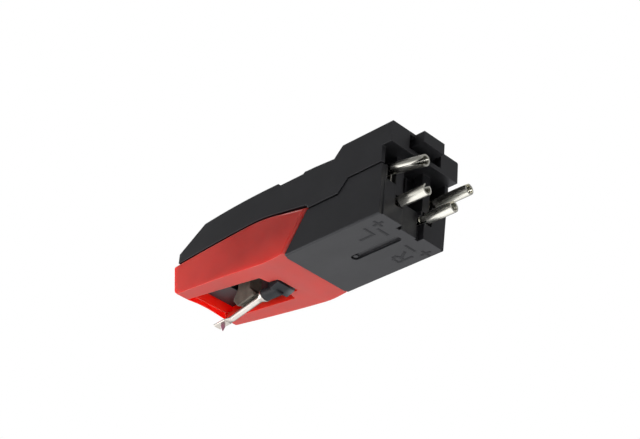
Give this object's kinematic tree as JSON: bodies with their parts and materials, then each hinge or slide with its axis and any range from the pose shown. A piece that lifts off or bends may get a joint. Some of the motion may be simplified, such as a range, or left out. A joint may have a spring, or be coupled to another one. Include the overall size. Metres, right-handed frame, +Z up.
{
  "type": "turntable stylus cartridge",
  "caption": "Slim ceramic phono cartridge: black two-part housing, red clip-on stylus holder with a sprung cantilever and jewel tip, rolled rear terminals.",
  "frame": {"origin": "middle of the flat mounting seat on top of the raised rear block", "axes": "+X towards the left-channel side, +Y to the rear along the terminals, +Z up out of the seat"},
  "size_m": [0.01, 0.0361, 0.0123],
  "materials": {
    "black_plastic": "fine satin moulding",
    "red_plastic": "satin, slightly translucent",
    "grey_rubber": "matt",
    "tan_rubber": "matt",
    "cantilever_metal": "drawn, bright",
    "sapphire": "polished jewel",
    "ceramic": "fired, silvered faces",
    "terminal_metal": "tin plated, satin"
  },
  "bodies": {
    "housing": {"upper_housing": "black_plastic", "lower_housing": "black_plastic", "coupler": "tan_rubber", "element_clamp": "grey_rubber", "ceramic_element_left": "ceramic", "ceramic_element_right": "ceramic", "terminal_left_upper": "terminal_metal", "terminal_left_lower": "terminal_metal", "terminal_right_upper": "terminal_metal", "terminal_right_lower": "terminal_metal"},
    "holder": {"stylus_holder": "red_plastic"},
    "suspension": {"suspension_block": "grey_rubber"},
    "stylus": {"cantilever": "cantilever_metal", "stylus_tip": "sapphire"}
  },
  "joints": [
    {"name": "holder_release", "type": "hinge", "parent": "housing", "child": "holder", "pos_m": [0, -0.01002, -0.00945], "axis": [1, 0, 0], "range_deg": [0, 6]},
    {"name": "stylus_rise", "type": "hinge", "parent": "holder", "child": "suspension", "pos_m": [0, -0.01773, -0.0089], "axis": [-1, 0, 0], "range_deg": [-3, 1.5], "stiffness_Nm_per_rad": 0.01},
    {"name": "stylus_sway", "type": "hinge", "parent": "suspension", "child": "stylus", "pos_m": [0, -0.01827, -0.0101], "axis": [0, 0, 1], "range_deg": [-1.5, 1.5], "stiffness_Nm_per_rad": 0.01}
  ]
}
